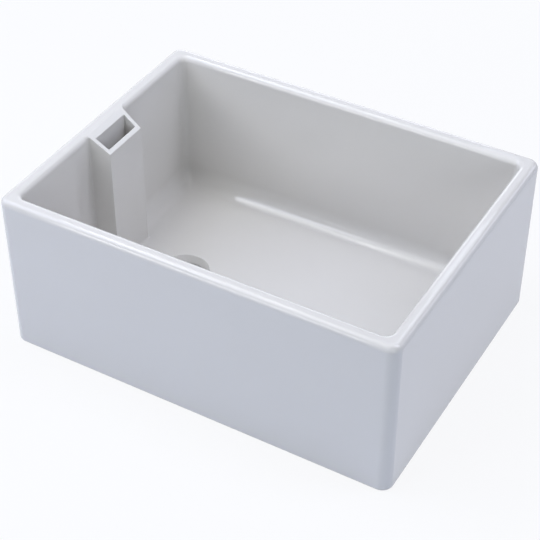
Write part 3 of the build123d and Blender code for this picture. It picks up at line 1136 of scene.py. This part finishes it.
def pull_loop(plug):
    """The ring, leaning over until it lies just above the plug."""
    low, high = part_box("pull_ring")
    drop = plug.eye_height - span("plug_body")[3] - plug.ring_gap - plug.ring_wire
    lean = asin(drop / (2 * plug.ring_radius))
    wire_steps, ring_steps = 24, 96
    radius, thick = plug.ring_radius, plug.ring_wire
    turns = [2 * pi * k / wire_steps for k in range(wire_steps)]
    bm = bmesh.new()
    wire = start_loop(bm, [Vector((radius + thick * cos(a), 0.0, thick * sin(a))) for a in turns])
    spin_round(bm, wire + loop_edges(bm, wire), 0.0, ring_steps, use_merge=True)
    bmesh.ops.rotate(bm, verts=bm.verts, cent=(0, 0, 0), matrix=Matrix.Rotation(lean, 3, "Y"))
    bmesh.ops.translate(bm, verts=bm.verts, vec=(low + high) / 2)
    return bm


def new_light(name, radiance, rgb, place, size_x, size_y, target=(0.0, 0.0, 0.2), roll=0.0):
    """A flat rectangular light that faces its target, rolled about its own axis."""
    lamp = bpy.data.lights.new(name, "AREA")
    lamp.shape = "RECTANGLE"
    lamp.size = size_x
    lamp.size_y = size_y
    lamp.energy = radiance * pi * size_x * size_y
    lamp.color = rgb
    light = bpy.data.objects.new(name, lamp)
    light.location = place
    facing = (Vector(target) - Vector(place)).to_track_quat("-Z", "Y")
    light.rotation_euler = (facing @ Quaternion((0, 0, 1), roll)).to_euler()
    light.visible_camera = False
    bpy.context.scene.collection.objects.link(light)


def studio_lights(studio):
    """Soft boxes round the object."""
    # The key light is one long box in two halves
    cool = (0.965, 0.98, 1.0)
    middle = Vector((-0.75, -0.24, 1.95))
    half = Vector((-0.261, 0.435, 0.237))
    ahead = Vector((0.466, 1.14, -1.576))
    roll = radians(46.5)
    for name, way in (("key", 1), ("key_near", -1)):
        place = middle + way * half
        new_light(name, getattr(studio, name), cool, place, 0.62, 1.12, place + ahead, roll)

    # The overhead light looks a hair off the upright, which settles how it is turned
    above = (-0.3, 0.0, 2.9)
    below = (-0.3, 0.001, 0.0)
    new_light("fill", studio.fill, (0.74, 0.8, 1.0), (-2.0, -0.7, 1.9), 1.8, 2.4)
    new_light("overhead", studio.overhead, (1.0, 1.0, 0.95), above, 1.4, 1.4, below)
    new_light("front", studio.front, (1.0, 0.99, 0.98), (-0.95, -2.25, 1.08), 1.0, 0.6)
    new_light("side", studio.side, (0.87, 0.94, 1.0), (1.7, -1.7, 0.8), 1.4, 0.8)
    new_light("right", studio.right, (0.86, 0.87, 1.0), (1.5, 0.5, 2.4), 0.8, 1.6)
    new_light("rear", studio.rear, (0.82, 0.88, 1.0), (0.2, 1.65, 2.4), 1.6, 1.2)
    new_light("corner", studio.corner, (0.8, 0.8, 1.0), (1.75, 1.9, 1.2), 1.3, 0.65)
    new_light("low_rear", studio.low_rear, (0.9, 0.95, 1.0), (-1.1, 2.3, 0.85), 1.4, 0.6)
    new_light("under", studio.under, (1.0, 1.0, 1.0), (0.5, -0.9, -1.2), 1.4, 1.0, (0.0, 0.0, 0.0))


def seen_rays(shader):
    """1 for the rays that look at the background, 0 for those that only carry light."""
    kinds = ("Is Camera Ray", "Is Glossy Ray", "Is Transmission Ray")
    camera, glossy, through = [shader.node("LightPath", output=kind) for kind in kinds]
    return shader.larger(shader.larger(camera, glossy), through)


def studio_world(studio):
    """White to look at, and cool soft light on the object."""
    world = bpy.data.worlds.new("studio")
    bpy.context.scene.world = world
    shader = Shader(world)
    white = shader.node("Background", {}, {"Color": (1, 1, 1, 1), "Strength": 1.0})
    sky = shader.node("Background", {}, {"Color": opaque(studio.sky), "Strength": studio.sky_strength})
    mixed = shader.node("MixShader", {}, {0: seen_rays(shader), 1: sky, 2: white})
    shader.node("OutputWorld", {}, {"Surface": mixed})


def studio_floor(studio):
    """A pale floor, open under the sink, where the waste hangs through it."""
    bm = bmesh.new()
    half_x = casting_high.x - studio.floor_lap
    half_y = casting_high.y - studio.floor_lap
    reach = studio.floor_reach
    corners = [(1, 1), (-1, 1), (-1, -1), (1, -1)]
    hole = start_loop(bm, [(half_x * x, half_y * y, -studio.floor_drop) for x, y in corners])
    grow(bm, hole, [(reach * x, reach * y, -studio.floor_drop) for x, y in corners])
    bmesh.ops.recalc_face_normals(bm, faces=bm.faces)
    if sum(face.normal.z for face in bm.faces) < 0:
        bmesh.ops.reverse_faces(bm, faces=bm.faces)
    mesh = bpy.data.meshes.new("studio_floor")
    bm.to_mesh(mesh)
    bm.free()
    floor = bpy.data.objects.new("studio_floor", mesh)
    bpy.context.scene.collection.objects.link(floor)
    shader = Shader(bpy.data.materials.new("studio_floor"))
    matt = shader.node("BsdfDiffuse", {}, {"Color": opaque(studio.floor)})
    white = shader.node("Emission", {}, {"Color": (1, 1, 1, 1), "Strength": 1.0})
    far = shader.node("VectorMath", {"operation": "LENGTH"}, {0: shader.place()}, "Value")
    near = 1 - shader.ramp(far, studio.shadow_near, studio.shadow_far)
    share = seen_rays(shader) * (1 - near * studio.shadow)
    mixed = shader.node("MixShader", {}, {0: share, 1: matt, 2: white})
    shader.node("OutputMaterial", {}, {"Surface": mixed})
    mesh.materials.append(shader.owner)


def studio_camera():
    """A camera at the photograph's place."""
    lens_mm, sensor_mm = 100.0, 36.0
    place = (0.8115, -1.4150, 1.4583)
    turn_angle, tilt = radians(30), radians(40)
    data = bpy.data.cameras.new("camera")
    data.lens = lens_mm
    data.sensor_width = sensor_mm
    camera = bpy.data.objects.new("camera", data)
    back = Vector((sin(turn_angle) * cos(tilt), -cos(turn_angle) * cos(tilt), sin(tilt)))
    camera.location = place
    camera.rotation_euler = (-back).to_track_quat("-Z", "Y").to_euler()
    bpy.context.scene.collection.objects.link(camera)
    bpy.context.scene.camera = camera


class SINK_OT_casting(bpy.types.Operator):
    """Model the glazed fireclay casting"""

    bl_idname = "belfast_sink.casting"
    bl_label = "Casting"

    def execute(self, context):
        bm = fireclay_body(context.scene.sink_casting, context.scene.sink_weir)
        finish_piece(bm, "fireclay_body", white_glaze, "sink", "sink_body")
        return {"FINISHED"}


class SINK_OT_waste(bpy.types.Operator):
    """Model the slotted waste in the outlet"""

    bl_idname = "belfast_sink.waste"
    bl_label = "Waste"

    def execute(self, context):
        bm = slotted_waste(context.scene.sink_waste)
        finish_piece(bm, "slotted_waste", chrome_plate, "sink", "waste_body")
        return {"FINISHED"}


class SINK_OT_clamp(bpy.types.Operator):
    """Model the seals, the washer and the nut that clamp the waste"""

    bl_idname = "belfast_sink.clamp"
    bl_label = "Clamp"

    def execute(self, context):
        waste = context.scene.sink_waste
        bm = flat_ring("flange_seal", waste.seal_bore, edge=0.0003)
        finish_piece(bm, "flange_gasket", pale_rubber, "sink", "flange_seal")
        bm = flat_ring("base_seal", waste.ring_bore, edge=0.0008)
        finish_piece(bm, "rubber_washer", dark_rubber, "sink", "base_seal")
        bm = flat_ring("slip_washer", waste.ring_bore, edge=0.0003)
        finish_piece(bm, "slip_ring", pale_polythene, "sink", "slip_washer")
        bm = hexagon_nut("back_nut", waste.nut_flats, waste.ring_bore)
        finish_piece(bm, "large_nut", turned_brass, "sink", "back_nut")
        return {"FINISHED"}


class SINK_OT_plug(bpy.types.Operator):
    """Model the plug, its seal, its post and what holds them"""

    bl_idname = "belfast_sink.plug"
    bl_label = "Plug"

    def execute(self, context):
        plug = context.scene.sink_plug
        finish_piece(plug_disc(plug), "plug_disc", chrome_plate, "plug", "plug_body")
        finish_piece(plug_gasket(plug), "plug_gasket", dark_rubber, "plug", "plug_seal")
        finish_piece(plug_post(plug), "plug_post", chrome_plate, "plug", "plug_eye")
        bm = flat_ring("eye_washer", plug.post_bore, edge=0.0002)
        finish_piece(bm, "post_washer", turned_brass, "plug", "eye_washer")
        bm = hexagon_nut("eye_nut", plug.nut_flats, plug.post_bore)
        finish_piece(bm, "post_nut", turned_brass, "plug", "eye_nut")
        return {"FINISHED"}


class SINK_OT_ring(bpy.types.Operator):
    """Model the ring that lifts the plug"""

    bl_idname = "belfast_sink.ring"
    bl_label = "Pull ring"

    def execute(self, context):
        bm = pull_loop(context.scene.sink_plug)
        finish_piece(bm, "pull_loop", chrome_plate, "ring", "pull_ring")
        return {"FINISHED"}


class SINK_OT_stage(bpy.types.Operator):
    """Set up the floor, the lights and the camera"""

    bl_idname = "belfast_sink.stage"
    bl_label = "Stage"

    def execute(self, context):
        scene = context.scene
        studio = scene.sink_studio
        scene.view_settings.view_transform = "Standard"
        studio_world(studio)
        studio_floor(studio)
        studio_lights(studio)
        studio_camera()
        return {"FINISHED"}


class SINK_PT_panel(bpy.types.Panel):
    """Sizes, finishes and the steps of the build"""

    bl_idname = "SINK_PT_panel"
    bl_label = "Belfast sink"
    bl_space_type = "VIEW_3D"
    bl_region_type = "UI"
    bl_category = "Sink"

    def draw(self, context):
        for name in property_groups:
            group = getattr(context.scene, name)
            column = self.layout.column()
            column.label(text=name.replace("_", " ").capitalize())
            for key in group.bl_rna.properties.keys():
                if key not in {"rna_type", "name"}:
                    column.prop(group, key)
        for step in steps:
            self.layout.operator(step.bl_idname)


property_groups = {
    "sink_casting": CastingSizes,
    "sink_weir": WeirSizes,
    "sink_waste": WasteSizes,
    "sink_plug": PlugSizes,
    "sink_finishes": Finishes,
    "sink_studio": Studio,
}
steps = (SINK_OT_casting, SINK_OT_waste, SINK_OT_clamp, SINK_OT_plug, SINK_OT_ring, SINK_OT_stage)


def register():
    for group in property_groups.values():
        bpy.utils.register_class(group)
    for name, group in property_groups.items():
        setattr(bpy.types.Scene, name, PointerProperty(type=group))
    for step in steps:
        bpy.utils.register_class(step)
    bpy.utils.register_class(SINK_PT_panel)


def unregister():
    bpy.utils.unregister_class(SINK_PT_panel)
    for step in reversed(steps):
        bpy.utils.unregister_class(step)
    for name in property_groups:
        delattr(bpy.types.Scene, name)
    for group in reversed(property_groups.values()):
        bpy.utils.unregister_class(group)


def main():
    register()
    bpy.ops.belfast_sink.casting()
    bpy.ops.belfast_sink.waste()
    bpy.ops.belfast_sink.clamp()
    bpy.ops.belfast_sink.plug()
    bpy.ops.belfast_sink.ring()
    bpy.ops.belfast_sink.stage()


if __name__ == "__main__":
    main()
